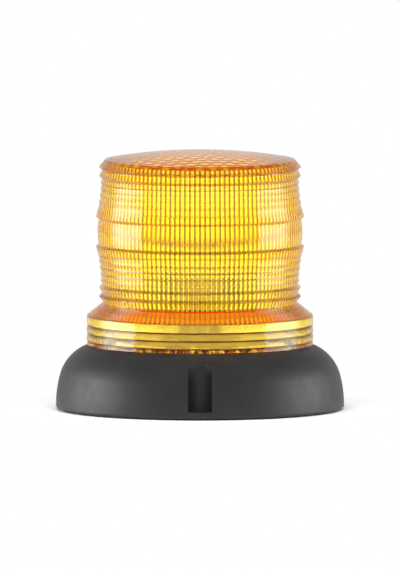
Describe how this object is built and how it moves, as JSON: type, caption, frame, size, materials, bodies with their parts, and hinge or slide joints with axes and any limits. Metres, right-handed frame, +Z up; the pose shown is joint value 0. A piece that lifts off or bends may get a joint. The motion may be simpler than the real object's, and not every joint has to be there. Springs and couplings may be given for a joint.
{
  "type": "xenon flashing beacon",
  "caption": "Amber warning beacon: a ribbed transparent lens over a flash tube, on a round black three-bolt base that holds the circuit board.",
  "frame": {"origin": "centre of the mounting face, under the middle of the base", "axes": "+Z up along the axis of the lens, -Y towards one of the three bolt pockets, +X to the right seen from that pocket"},
  "size_m": [0.16, 0.16, 0.1436],
  "materials": {
    "amber_lens": "clear amber acrylic, polished moulding",
    "black_plastic": "fine matt moulded black",
    "cover_plastic": "matt moulded black",
    "seal_rubber": "soft black rubber",
    "grommet_rubber": "black rubber",
    "screw_steel": "zinc plated steel",
    "white_plastic": "white, half gloss",
    "stand_plastic": "natural white nylon",
    "socket_ceramic": "unglazed ceramic",
    "tube_glass": "clear glass",
    "electrode_metal": "grey metal",
    "nickel_wire": "bare nickel wire",
    "wire_sleeve": "wire in white silicone insulation",
    "board_laminate": "green laminate with solder mask",
    "capacitor_sleeve": "shrunk blue sleeve",
    "black_component": "moulded epoxy",
    "ferrite": "dark grey ferrite",
    "bobbin_plastic": "pale moulding",
    "winding_tape": "yellow film tape over copper wire",
    "film_capacitor": "red epoxy case",
    "sink_aluminium": "extruded",
    "clip_brass": "bright brass",
    "terminal_green": "green moulding",
    "resistor_ceramic": "sand coloured lacquer"
  },
  "bodies": {
    "root": {"lens": "amber_lens", "base_housing": "black_plastic", "lens_gasket": "seal_rubber", "mounting_gasket": "seal_rubber", "bottom_cover": "cover_plastic", "cover_seal": "seal_rubber", "cover_screws": "screw_steel", "lens_screws": "screw_steel", "cable_grommet": "grommet_rubber", "reflector_plate": "white_plastic", "lamp_stand": "stand_plastic", "stand_screws": "screw_steel", "tube_socket": "socket_ceramic", "flash_tube": "tube_glass", "tube_electrodes": "electrode_metal", "trigger_wire": "nickel_wire", "tube_leads": "wire_sleeve", "circuit_board": "board_laminate", "board_screws": "screw_steel", "storage_capacitor": "capacitor_sleeve", "input_capacitor": "black_component", "transformer_core": "ferrite", "transformer_bobbin": "bobbin_plastic", "transformer_winding": "winding_tape", "trigger_coil": "black_component", "trigger_capacitor": "film_capacitor", "power_transistor": "black_component", "heatsink": "sink_aluminium", "transistor_screw": "screw_steel", "fuse": "tube_glass", "fuse_clips": "clip_brass", "terminal_block": "terminal_green", "terminal_screws": "screw_steel", "diodes": "black_component", "resistors": "resistor_ceramic", "timer_chip": "black_component", "thyristor": "black_component"}
  },
  "joints": []
}
